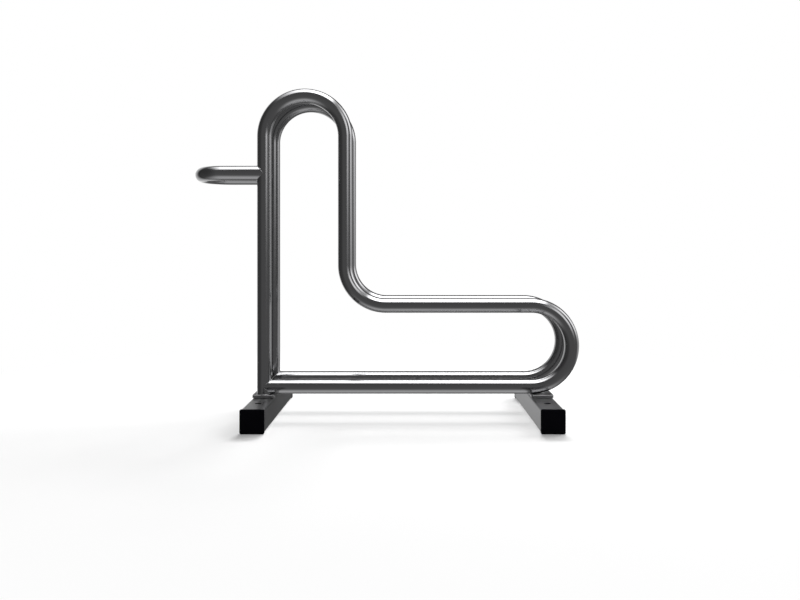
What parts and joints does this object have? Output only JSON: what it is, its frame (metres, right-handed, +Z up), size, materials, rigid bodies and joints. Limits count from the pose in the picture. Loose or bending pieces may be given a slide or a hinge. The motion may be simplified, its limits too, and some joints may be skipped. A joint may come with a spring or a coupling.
{
  "type": "bicycle parking stand",
  "caption": "Floor stand for parking a bicycle: parallel L-shaped loops of bent round tube, tied by a U-shaped hoop, on cross feet of square tube with end caps.",
  "frame": {"origin": "on the floor, under the middle of the stand's length and width", "axes": "+X along the bicycle, from the hoop towards the end where the wheel rolls in; +Y across the bicycle, away from the picture's viewpoint; +Z up"},
  "size_m": [0.53, 0.25, 0.45],
  "materials": {
    "tube_coat": "dark graphite metallic coat, semi-gloss",
    "foot_coat": "dark graphite metallic coat, satin",
    "cap_plastic": "black moulded plastic",
    "zinc": "bright zinc plating"
  },
  "bodies": {
    "root": {"side_frame_front": "tube_coat", "side_frame_rear": "tube_coat", "wheel_hoop": "tube_coat", "foot_left": "foot_coat", "foot_right": "foot_coat", "bridge_plate_left": "foot_coat", "bridge_plate_right": "foot_coat", "end_cap_left_front": "cap_plastic", "end_cap_left_rear": "cap_plastic", "end_cap_right_front": "cap_plastic", "end_cap_right_rear": "cap_plastic", "plate_bolt_left_front": "zinc", "plate_bolt_left_rear": "zinc", "plate_bolt_right_front": "zinc", "plate_bolt_right_rear": "zinc", "plate_washer_left_front": "zinc", "plate_washer_left_rear": "zinc", "plate_washer_right_front": "zinc", "plate_washer_right_rear": "zinc", "rivet_nut_left_front": "zinc", "rivet_nut_left_rear": "zinc", "rivet_nut_right_front": "zinc", "rivet_nut_right_rear": "zinc"}
  },
  "joints": []
}
